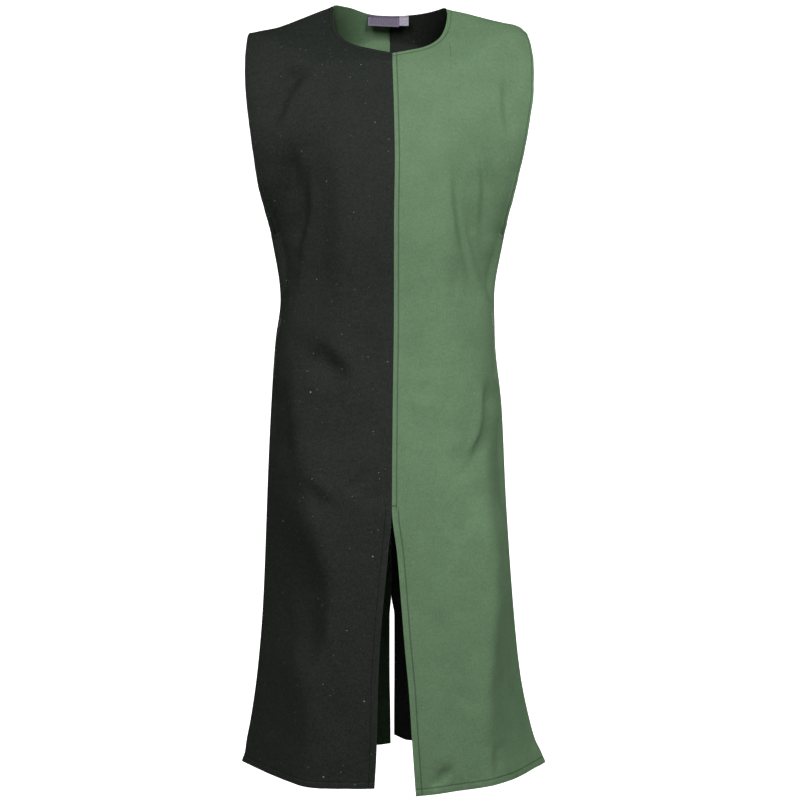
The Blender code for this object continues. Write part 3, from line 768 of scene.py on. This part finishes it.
class Graph:
    """Short names for the nodes that the materials are made of."""

    def __init__(self, tree):
        self.tree = tree

    def node(self, kind, **settings):
        made = self.tree.nodes.new(kind)
        for key, value in settings.items():
            setattr(made, key, value)
        return made

    def feed(self, socket, value):
        if hasattr(value, "is_output"):
            self.tree.links.new(value, socket)
        else:
            socket.default_value = value

    def math(self, operation, a, b=0.0, clamp=False):
        made = self.node("ShaderNodeMath", operation=operation, use_clamp=clamp)
        self.feed(made.inputs[0], a)
        self.feed(made.inputs[1], b)
        return made.outputs[0]

    def mix(self, share, a, b, blend="MIX"):
        made = self.node("ShaderNodeMix", data_type="RGBA", blend_type=blend)
        self.feed(made.inputs["Factor"], share)
        self.feed(made.inputs["A"], a)
        self.feed(made.inputs["B"], b)
        return made.outputs["Result"]

    def ramp(self, value, low, high, to_low=0.0, to_high=1.0):
        made = self.node("ShaderNodeMapRange", interpolation_type="SMOOTHSTEP")
        self.feed(made.inputs["Value"], value)
        for key, number in (
            ("From Min", low),
            ("From Max", high),
            ("To Min", to_low),
            ("To Max", to_high),
        ):
            made.inputs[key].default_value = number
        return made.outputs["Result"]

    def stretch(self, vector, scale):
        made = self.node("ShaderNodeMapping", vector_type="POINT")
        self.feed(made.inputs["Vector"], vector)
        made.inputs["Scale"].default_value = scale
        return made.outputs[0]

    def noise(self, vector, scale, detail=2.0, rough=0.5):
        made = self.node("ShaderNodeTexNoise")
        self.feed(made.inputs["Vector"], vector)
        made.inputs["Scale"].default_value = scale
        made.inputs["Detail"].default_value = detail
        made.inputs["Roughness"].default_value = rough
        return made.outputs["Fac"]

    def attribute(self, name):
        return self.node("ShaderNodeAttribute", attribute_name=name).outputs["Fac"]


# Each canvas: its own colour, the colour that its raised threads go to, the painted shade
# colour of its stitch grooves, and the colour of the lint that clings to it.
CANVAS = {
    "columns": ("name", "base", "thread", "groove_and_painted_shade", "lint", "lint_share", "sheen", "gloss", "patches"),
    "rows": (
        (
            "black_canvas",
            (0.0162, 0.0196, 0.0160, 1),
            (0.0214, 0.0256, 0.0211, 1),
            (0.0088, 0.0106, 0.0088, 1),
            (0.34, 0.36, 0.32, 1),
            1.0,
            0.0,
            0.13,
            0.34,
        ),
        (
            "green_canvas",
            (0.126, 0.215, 0.116, 1),
            (0.152, 0.250, 0.141, 1),
            (0.055, 0.100, 0.050, 1),
            (0.36, 0.46, 0.31, 1),
            0.45,
            0.0,
            0.16,
            0.11,
        ),
    ),
}


def canvas(row):
    """Plain-weave cotton: warp down the panel and weft across it, uneven yarns with
    slubs, soft mottling, a little lint, stitch grooves darkened with painted shade, folded
    edges paler from wear and seams paler from a painted highlight."""
    look = dict(zip(CANVAS["columns"], row))
    material, tree, surface = nodes_of(look["name"])
    g = Graph(tree)
    place = g.node("ShaderNodeUVMap", uv_map="cloth").outputs[0]
    split = g.node("ShaderNodeSeparateXYZ")
    g.feed(split.inputs[0], place)
    across, down = split.outputs[0], split.outputs[1]

    # Threads at 0.62 mm across and 0.7 mm down, pulled a little off their lines.
    wander = g.math("MULTIPLY", g.math("SUBTRACT", g.noise(place, 90.0, 2.0), 0.5), 0.0007)
    u = g.math("MULTIPLY", g.math("ADD", across, wander), math.pi / 0.00062)
    v = g.math("MULTIPLY", g.math("ADD", down, wander), math.pi / 0.00070)
    over = g.math("MULTIPLY", g.math("SINE", u), g.math("SINE", v))
    warp_up = g.ramp(over, -0.25, 0.25)
    warp_round = g.math("ABSOLUTE", g.math("SINE", u))
    weft_round = g.math("ABSOLUTE", g.math("SINE", v))
    height = g.math(
        "ADD",
        g.math("MULTIPLY", warp_up, warp_round),
        g.math("MULTIPLY", g.math("SUBTRACT", 1.0, warp_up), weft_round),
    )

    # Uneven yarns: streaks along the warp and the weft, some thick enough to see.
    warp_streak = g.noise(g.stretch(place, (1600.0, 26.0, 1.0)), 1.0, 2.0, 0.6)
    weft_streak = g.noise(g.stretch(place, (30.0, 1400.0, 1.0)), 1.0, 2.0, 0.6)
    slub_warp = g.noise(g.stretch(place, (520.0, 30.0, 1.0)), 1.0, 1.0, 0.5)
    slub_weft = g.noise(g.stretch(place, (34.0, 480.0, 1.0)), 1.0, 1.0, 0.5)
    slubs = g.math("ADD", g.ramp(slub_warp, 0.62, 0.8), g.ramp(slub_weft, 0.62, 0.8), clamp=True)
    mottle = g.noise(place, 140.0, 3.0, 0.55)
    grain = g.noise(place, 620.0, 2.0, 0.6)
    cloud = g.noise(place, 22.0, 2.0, 0.5)

    raised = g.math("MULTIPLY", height, 0.55)
    for value, share in (
        (warp_streak, 0.6),
        (weft_streak, 0.6),
        (mottle, 0.6),
        (grain, 0.6),
    ):
        raised = g.math(
            "ADD", raised, g.math("MULTIPLY", g.math("SUBTRACT", value, 0.5), share)
        )
    raised = g.math("ADD", raised, g.math("MULTIPLY", slubs, 0.35), clamp=True)
    colour = g.mix(raised, look["base"], look["thread"])
    darker = tuple(c * 0.82 for c in look["base"][:3]) + (1,)
    colour = g.mix(g.ramp(cloud, 0.35, 0.75, 0.0, 0.35), colour, darker)

    # Uneven dye: the same cloth, a little fuller or paler from one spot to the next.
    spots = g.noise(g.stretch(place, (330.0, 290.0, 1.0)), 1.0, 3.0, 0.7)
    wide = g.noise(g.stretch(place, (120.0, 150.0, 1.0)), 1.0, 2.0, 0.6)
    dye = g.math("ADD", g.math("MULTIPLY", spots, 0.75), g.math("MULTIPLY", wide, 0.25))
    full = tuple(c * (1 - look["patches"]) for c in (1, 1, 1)) + (1,)
    pale = tuple(c * (1 + look["patches"]) for c in (1, 1, 1)) + (1,)
    colour = g.mix(1.0, colour, g.mix(g.ramp(dye, 0.32, 0.68), full, pale), "MULTIPLY")

    # Lint and broken fibre: pale flecks, many faint and small, a few large and bright.
    fleck = 0.0
    for grid, least, most, rarest, full_strength in (
        ((104.0, 122.0, 1.0), 0.045, 0.125, 0.30, 0.34),
        ((40.0, 48.0, 1.0), 0.024, 0.060, 0.40, 1.0),
    ):
        cells = g.node("ShaderNodeTexVoronoi", feature="F1", distance="EUCLIDEAN")
        g.feed(cells.inputs["Vector"], g.stretch(place, grid))
        cells.inputs["Scale"].default_value = 1.0
        cells.inputs["Randomness"].default_value = 1.0
        chance = g.node("ShaderNodeSeparateColor")
        g.feed(chance.inputs[0], cells.outputs["Color"])
        size = g.math("ADD", least, g.math("MULTIPLY", chance.outputs[1], most - least))
        spot = g.math("LESS_THAN", cells.outputs["Distance"], size)
        strength = g.ramp(chance.outputs[0], rarest, 1.0, 0.0, full_strength)
        fleck = g.math("MAXIMUM", fleck, g.math("MULTIPLY", spot, strength))
    colour = g.mix(g.math("MULTIPLY", fleck, look["lint_share"]), colour, look["lint"])

    # painted shade: the stitch grooves are darkened in colour on top of their real depth
    groove_and_painted_shade = g.attribute("groove_and_painted_shade")
    colour = g.mix(g.ramp(groove_and_painted_shade, 0.15, 1.0, 0.0, 0.8), colour, look["groove_and_painted_shade"])
    # paler edges: wear along the free folded edges, painted highlight along the seams
    wear_and_seam_highlight = g.math("MULTIPLY", g.attribute("wear_and_seam_highlight"), g.ramp(mottle, 0.3, 0.7, 0.25, 0.6))
    wear_and_highlight_colour = tuple(min(1.0, c * 1.25) for c in look["thread"][:3]) + (1,)
    colour = g.mix(wear_and_seam_highlight, colour, wear_and_highlight_colour)
    g.feed(surface.inputs["Base Color"], colour)

    rough = g.math("ADD", 0.55, g.math("MULTIPLY", mottle, 0.16), clamp=True)
    g.feed(surface.inputs["Roughness"], rough)
    surface.inputs["Specular IOR Level"].default_value = look["gloss"]
    surface.inputs["Sheen Weight"].default_value = look["sheen"]
    surface.inputs["Sheen Roughness"].default_value = 0.6

    relief = g.math("ADD", height, g.math("MULTIPLY", slubs, 1.1))
    relief = g.math("ADD", relief, g.math("MULTIPLY", mottle, 0.9))
    relief = g.math("ADD", relief, g.math("MULTIPLY", fleck, 1.2))
    bump = g.node("ShaderNodeBump")
    bump.inputs["Strength"].default_value = 0.55
    bump.inputs["Distance"].default_value = 0.00016
    g.feed(bump.inputs["Height"], relief)
    g.feed(surface.inputs["Normal"], bump.outputs[0])
    return material


def thread_look(name, light, dark):
    """Twisted sewing thread."""
    material, tree, surface = nodes_of(name)
    g = Graph(tree)
    place = g.node("ShaderNodeTexCoord").outputs["Object"]
    twist = g.noise(g.stretch(place, (2600.0, 2600.0, 2600.0)), 1.0, 1.0)
    g.feed(surface.inputs["Base Color"], g.mix(g.ramp(twist, 0.35, 0.65), dark, light))
    g.feed(surface.inputs["Roughness"], g.ramp(twist, 0.3, 0.7, 0.5, 0.75))
    bump = g.node("ShaderNodeBump")
    bump.inputs["Strength"].default_value = 0.5
    bump.inputs["Distance"].default_value = 0.0001
    g.feed(bump.inputs["Height"], twist)
    g.feed(surface.inputs["Normal"], bump.outputs[0])
    return material


def ribbon_look(name, ground, pick, border):
    """Woven satin ribbon: fine weft ribs, a plain border line woven along its edges."""
    material, tree, surface = nodes_of(name)
    g = Graph(tree)
    place = g.node("ShaderNodeUVMap", uv_map="cloth").outputs[0]
    split = g.node("ShaderNodeSeparateXYZ")
    g.feed(split.inputs[0], place)
    across, down = split.outputs[0], split.outputs[1]
    ribs = g.math("ABSOLUTE", g.math("SINE", g.math("MULTIPLY", down, math.pi / 0.00045)))
    ends = g.math("ABSOLUTE", g.math("SINE", g.math("MULTIPLY", across, math.pi / 0.00030)))
    streak = g.noise(g.stretch(place, (60.0, 1500.0, 1.0)), 1.0, 2.0, 0.6)
    cloud = g.noise(place, 260.0, 2.0)
    lift = g.math("ADD", g.math("MULTIPLY", ribs, 0.25), g.math("MULTIPLY", streak, 0.4))
    uneven = g.noise(g.stretch(place, (520.0, 380.0, 1.0)), 1.0, 2.0, 0.65)
    lift = g.math("ADD", lift, g.math("MULTIPLY", g.math("SUBTRACT", uneven, 0.42), 2.6))
    colour = g.mix(g.ramp(lift, 0.2, 0.8), ground, pick)
    colour = g.mix(g.ramp(cloud, 0.4, 0.7, 0.0, 0.35), colour, tuple(c * 0.8 for c in ground[:3]) + (1,))
    rim = g.attribute("rim")
    colour = g.mix(g.math("MULTIPLY", rim, 0.8), colour, border)
    g.feed(surface.inputs["Base Color"], colour)
    g.feed(surface.inputs["Roughness"], g.ramp(streak, 0.3, 0.7, 0.45, 0.62))
    surface.inputs["Sheen Weight"].default_value = 0.08
    bump = g.node("ShaderNodeBump")
    bump.inputs["Strength"].default_value = 0.5
    bump.inputs["Distance"].default_value = 0.00012
    g.feed(bump.inputs["Height"], g.math("ADD", ribs, g.math("MULTIPLY", ends, 0.5)))
    g.feed(surface.inputs["Normal"], bump.outputs[0])
    return material


# ---------------------------------------------------------------- build the cloth
looks = {row[0]: canvas(row) for row in CANVAS["rows"]}
threads = {
    True: thread_look("green_thread", (0.10, 0.165, 0.09, 1), (0.05, 0.09, 0.045, 1)),
    False: thread_look("black_thread", (0.026, 0.030, 0.026, 1), (0.016, 0.019, 0.016, 1)),
}
PANELS = ("front_right", "front_left", "back_right", "back_left")
panels, cloths = {}, {}
for name in PANELS:
    made = cloth_panel(name)
    look = looks["green_canvas" if made["green"] else "black_canvas"]
    cloth = shell_object(made, look)
    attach(cloth, "root")
    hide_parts(name)
    panels[name], cloths[name] = made, cloth

stitch_pieces = {name: [] for name in PANELS}
for name in PANELS:
    made = panels[name]
    tree = skin_tree(made)
    outer = made["outer"]
    inset = {row[0]: row[1] for row in HEMS["rows"]}
    row = made["slit_row"]
    lines = [
        stitch_path(made, tree, outer[0, : NECK_CELLS + 1], inset["neck"], (0.0, 0.0)),
        stitch_path(made, tree, outer[: UPPER_CELLS + 1, -1], inset["armhole"], (1.0, 2.0)),
        stitch_path(made, tree, outer[-1, :], inset["hem"], (9.0, 1.0)),
        stitch_path(made, tree, outer[row:, 0], inset["slit"], (0.0, 9.5)),
    ]
    if made["green"]:
        lines.append(stitch_path(made, tree, outer[: row + 1, 0], inset["seam"], (6.0, 0.0)))
        if name == "front_left":
            # a short bar of thread across the strip, where the slit begins
            reach = int(np.argmin(np.abs(outer[row, :, 0] - outer[row, 0, 0] - 8.0)))
            start, end = outer[row, 0], outer[row, reach]
            for above in (0.0, 0.4, 0.8, 1.2, 1.6):
                bar = start + (end - start) * np.linspace(0, 1, 12)[:, None] + (0, -0.75, above)
                lines.append((bar, np.tile(made["way"][row, 1], (12, 1))))
    piece = stitches(name + "_stitching", lines, threads[made["green"]])
    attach(piece, "root")
    stitch_pieces[name].append(piece)

# ---------------------------------------------------------------- the labels
# Each hangs inside the back neck: where it starts and ends across, how far it hangs,
# and how far it stands off the cloth at the top and at its free lower edge.
LABELS = {
    "columns": ("name", "from_x", "to_x", "drop", "top_off", "foot_off"),
    "rows": (("neck_label", -38.9, 9.0, 16.8, 0.5, 1.6), ("size_tab", 9.4, 23.8, 15.8, 0.6, 2.4)),
}


def neck_height(x):
    """The back neckline's height over a place across the garment."""
    best = []
    for name in ("back_right", "back_left"):
        edge = panels[name]["outer"][0, : NECK_CELLS + 1]
        order = np.argsort(edge[:, 0])
        if edge[:, 0].min() - 0.5 <= x <= edge[:, 0].max() + 0.5:
            best.append(np.interp(x, edge[order, 0], edge[order, 2]))
    return float(np.mean(best))


def label_object(row, material, trees):
    spec = dict(zip(LABELS["columns"], row))
    nx, nz = 64, 28
    points, uv, rim = [], [], []
    wall = 0.32
    # It is stiffer than the cloth: its top is straight, and it spans small bends.
    spread_x = np.linspace(spec["from_x"], spec["to_x"], nx + 1)
    edge = np.array([neck_height(x) for x in spread_x]) - 1.0
    top = np.polyval(np.polyfit(spread_x, edge, 1), spread_x)
    top -= max(0.0, float((top - edge).max()))
    ends = np.arange(nx + 1)
    for j in range(nz + 1):
        t = j / nz
        cloth_y = np.full(nx + 1, 60.0)
        for i, x in enumerate(spread_x):
            for tree in trees:
                hit = tree.ray_cast(Vector((x, 0, top[i] - spec["drop"] * t)), Vector((0, 1, 0)))
                if hit[0] is not None:
                    cloth_y[i] = min(cloth_y[i], hit[0][1])
        span = np.polyval(np.polyfit(ends, cloth_y, 2), ends)
        span -= max(0.0, float((span - cloth_y).max()))
        for i in range(nx + 1):
            s = i / nx
            x, z = spread_x[i], top[i] - spec["drop"] * t
            y = span[i]
            off = spec["top_off"] + (spec["foot_off"] - spec["top_off"]) * t**2
            off += 0.35 * math.sin(3.1 * s + 1.0) * t + 0.2 * math.sin(9.0 * s) * t * t
            # the ends are folded under, which makes them a little thicker
            off += 0.25 * (smooth(0.045, 0.02, min(s, 1 - s)))
            points.append((x, y - off, z))
            uv.append((x * MM, -z * MM))
            reach = min(s * (spec["to_x"] - spec["from_x"]), (1 - s) * (spec["to_x"] - spec["from_x"]), t * spec["drop"], (1 - t) * spec["drop"])
            rim.append(float(bell(reach - 1.6, 0.35)))
    points = np.array(points)
    front = points - (0, wall, 0)
    width = nx + 1
    count = len(points)
    faces = []
    for j in range(nz):
        for i in range(nx):
            a, b, c, d = j * width + i, (j + 1) * width + i, (j + 1) * width + i + 1, j * width + i + 1
            faces.append((a, b, c, d))
            faces.append((d + count, c + count, b + count, a + count))
    ring = (
        list(range(nx))
        + [j * width + nx for j in range(nz)]
        + [nz * width + i for i in range(nx, 0, -1)]
        + [j * width for j in range(nz, 0, -1)]
    )
    for a, b in zip(ring, ring[1:] + ring[:1]):
        faces.append((a, b, b + count, a + count))
    mesh = bpy.data.meshes.new(spec["name"] + "_woven")
    mesh.from_pydata([tuple(p * MM) for p in np.concatenate([front, points])], [], faces)
    mesh.validate()
    mesh.update()
    mesh.polygons.foreach_set("use_smooth", np.ones(len(mesh.polygons), bool))
    layer = mesh.uv_layers.new(name="cloth")
    index = np.zeros(len(mesh.loops), np.int32)
    mesh.loops.foreach_get("vertex_index", index)
    layer.data.foreach_set("uv", np.array(uv + uv, np.float32)[index].ravel())
    attribute = mesh.attributes.new("rim", "FLOAT", "POINT")
    attribute.data.foreach_set("value", np.array(rim + rim, np.float32))
    mesh.materials.append(material)
    obj = link(bpy.data.objects.new(spec["name"] + "_woven", mesh))
    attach(obj, "root")
    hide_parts(spec["name"])
    return obj, front.reshape(nz + 1, width, 3)


def inner_tree(made):
    inner = made["inner"]
    rows, columns = inner.shape[:2]
    index = np.arange(rows * columns).reshape(rows, columns)
    quads = np.stack(
        [index[:-1, :-1], index[1:, :-1], index[1:, 1:], index[:-1, 1:]], axis=2
    ).reshape(-1, 4)
    return BVHTree.FromPolygons(inner.reshape(-1, 3).tolist(), quads.tolist())


label_trees = [inner_tree(panels["back_right"]), inner_tree(panels["back_left"])]
ribbons = {
    "neck_label": ribbon_look(
        "purple_ribbon", (0.085, 0.064, 0.118, 1), (0.150, 0.125, 0.192, 1), (0.26, 0.235, 0.31, 1)
    ),
    "size_tab": ribbon_look(
        "lilac_ribbon", (0.29, 0.255, 0.33, 1), (0.40, 0.365, 0.45, 1), (0.36, 0.33, 0.41, 1)
    ),
}
labels = {}
for row in LABELS["rows"]:
    labels[row[0]], skin = label_object(row, ribbons[row[0]], label_trees)
    top = skin[3]
    lines = [(top, np.tile((0.0, -1.0, 0.0), (len(top), 1)))]
    sewn = stitches(row[0] + "_stitching", lines, threads[False])
    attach(sewn, "root")

# ---------------------------------------------------------------- studio
def floor_look():
    material, tree, surface = nodes_of("studio_floor")
    g = Graph(tree)
    place = g.node("ShaderNodeTexCoord").outputs["Object"]
    tone = g.noise(place, 1.5, 2.0)
    g.feed(
        surface.inputs["Base Color"],
        g.mix(tone, (0.80, 0.80, 0.80, 1), (0.84, 0.84, 0.84, 1)),
    )
    surface.inputs["Roughness"].default_value = 0.9
    return material


FLOOR_Z = -1.47
floor_mesh = bpy.data.meshes.new("studio_floor")
sides = 96
floor_mesh.from_pydata(
    [(0.85 * math.cos(2 * math.pi * i / sides), 0.85 * math.sin(2 * math.pi * i / sides), FLOOR_Z) for i in range(sides)],
    [],
    [tuple(range(sides))],
)
floor_mesh.materials.append(floor_look())
floor = link(bpy.data.objects.new("studio_floor", floor_mesh))
floor.visible_diffuse = False  # it throws no light back up under the skirts

world = bpy.data.worlds.new("studio")
scene.world = world
world.use_nodes = True
sky = Graph(world.node_tree)
world.node_tree.nodes.clear()
seen = sky.node("ShaderNodeLightPath").outputs["Is Camera Ray"]
glow = sky.node("ShaderNodeBackground")
glow.inputs["Color"].default_value = (1, 1, 1, 1)
sky.feed(glow.inputs["Strength"], sky.ramp(seen, 0.0, 1.0, 0.035, 1.6))
world_out = sky.node("ShaderNodeOutputWorld")
world.node_tree.links.new(glow.outputs[0], world_out.inputs["Surface"])

# Soft boxes: where each stands, what it faces, its size and its power.
LIGHTS = {
    "columns": ("name", "place", "faces", "width", "height", "watts"),
    "rows": (
        ("key_left", (-0.95, -2.40, 0.80), (0, 0, -0.45), 0.8, 1.0, 38.5),
        ("key_right", (0.95, -2.40, 0.80), (0, 0, -0.45), 0.8, 1.0, 38.5),
        ("fill_left", (-1.95, -0.65, 0.30), (0, 0, -0.25), 0.8, 1.0, 10),
        ("fill_right", (1.95, -0.65, -0.10), (0, 0, -0.55), 0.8, 1.4, 14),
        ("back_left", (-0.55, 2.6, 0.2), (0, 0, -0.55), 1.0, 1.2, 34),
        ("back_right", (0.55, 2.6, 0.2), (0, 0, -0.55), 1.0, 1.2, 34),
    ),
}
for name, place, faces, width, height, watts in LIGHTS["rows"]:
    lamp = bpy.data.lights.new(name, "AREA")
    lamp.shape = "RECTANGLE"
    lamp.size, lamp.size_y, lamp.energy = width, height, watts
    box = link(bpy.data.objects.new(name, lamp))
    box.location = place
    box.rotation_euler = (Vector(faces) - Vector(place)).to_track_quat("-Z", "Y").to_euler()

# The camera stands level with the middle of the garment, 2.2 m in front of it.
lens = bpy.data.cameras.new("camera")
lens.sensor_width, lens.lens = 36.0, 66.0
camera = link(bpy.data.objects.new("camera", lens))
camera.location = (0.0105, -2.2, -0.591)
camera.rotation_euler = (math.radians(90), 0, 0)
scene.camera = camera
scene.view_settings.view_transform = "Standard"
scene.view_settings.look = "None"
